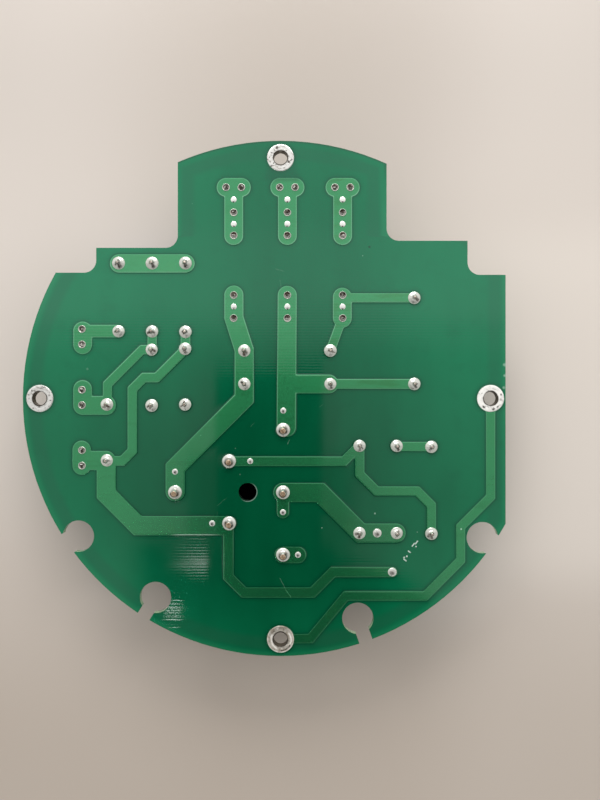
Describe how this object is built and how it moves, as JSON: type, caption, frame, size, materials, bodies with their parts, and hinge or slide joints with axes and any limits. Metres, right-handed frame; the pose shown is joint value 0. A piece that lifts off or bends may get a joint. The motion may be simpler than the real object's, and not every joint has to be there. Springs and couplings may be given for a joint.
{
  "type": "power supply board",
  "caption": "Round green circuit board with stepped top, rim notches and soldered face up, carrying fuses, film capacitors, a ring choke, resistors and blade tabs underneath.",
  "frame": {"origin": "centre of the round board outline, on the soldered face of the laminate, midway between the upper and lower mounting holes", "axes": "+Z out of the soldered face, +Y towards the stepped head with the input tabs, +X towards the flat right edge seen from the soldered side"},
  "size_m": [0.1574, 0.168, 0.0241],
  "materials": {
    "masked_laminate": "glossy green mask over glass-epoxy",
    "masked_copper": "glossy green mask over copper",
    "tinned_pads": "hot tinned, slightly uneven",
    "solder": "bright solder",
    "tinned_brass": "tinned brass",
    "clip_spring": "tinned spring bronze",
    "fuse_ceramic": "unglazed ceramic",
    "fuse_caps": "nickel plated",
    "line_cap_case": "moulded grey box",
    "star_cap_case": "moulded blue box",
    "tinned_wire": "tinned copper lead",
    "black_moulding": "moulded black nylon",
    "core_coating": "dark epoxy coat",
    "copper_wire": "enamelled copper",
    "resistor_lacquer": "lacquered film resistor"
  },
  "bodies": {
    "root": {"board_laminate": "masked_laminate", "solder_side_tracks": "masked_copper", "component_side_tracks": "masked_copper", "component_side_pads": "tinned_pads", "mounting_hole_rings": "tinned_pads", "tab_solder_joints": "solder", "fuse_clip_solder_joints": "solder", "capacitor_solder_joints": "solder", "resistor_solder_joints": "solder", "choke_solder_joints": "solder", "filled_vias": "solder", "input_tab_1": "tinned_brass", "input_tab_2": "tinned_brass", "input_tab_3": "tinned_brass", "output_tab_1": "tinned_brass", "output_tab_2": "tinned_brass", "output_tab_3": "tinned_brass", "fuse_clip_1_upper": "clip_spring", "fuse_clip_1_lower": "clip_spring", "fuse_clip_2_upper": "clip_spring", "fuse_clip_2_lower": "clip_spring", "fuse_clip_3_upper": "clip_spring", "fuse_clip_3_lower": "clip_spring", "fuse_1_tube": "fuse_ceramic", "fuse_2_tube": "fuse_ceramic", "fuse_3_tube": "fuse_ceramic", "fuse_1_end_caps": "fuse_caps", "fuse_2_end_caps": "fuse_caps", "fuse_3_end_caps": "fuse_caps", "line_capacitor_1": "line_cap_case", "line_capacitor_2": "line_cap_case", "line_capacitor_3": "line_cap_case", "line_capacitor_4": "line_cap_case", "line_capacitor_5": "line_cap_case", "line_capacitor_6": "line_cap_case", "star_capacitor_1": "star_cap_case", "star_capacitor_2": "star_cap_case", "star_capacitor_3": "star_cap_case", "capacitor_leads": "tinned_wire", "resistor_leads": "tinned_wire", "choke_base": "black_moulding", "choke_separator_hub": "black_moulding", "choke_separator_arms": "black_moulding", "choke_core": "core_coating", "choke_winding_1": "copper_wire", "choke_winding_2": "copper_wire", "choke_winding_3": "copper_wire", "choke_wire_ends": "copper_wire", "bleed_resistor_1": "resistor_lacquer", "bleed_resistor_2": "resistor_lacquer", "bleed_resistor_3": "resistor_lacquer"}
  },
  "joints": []
}
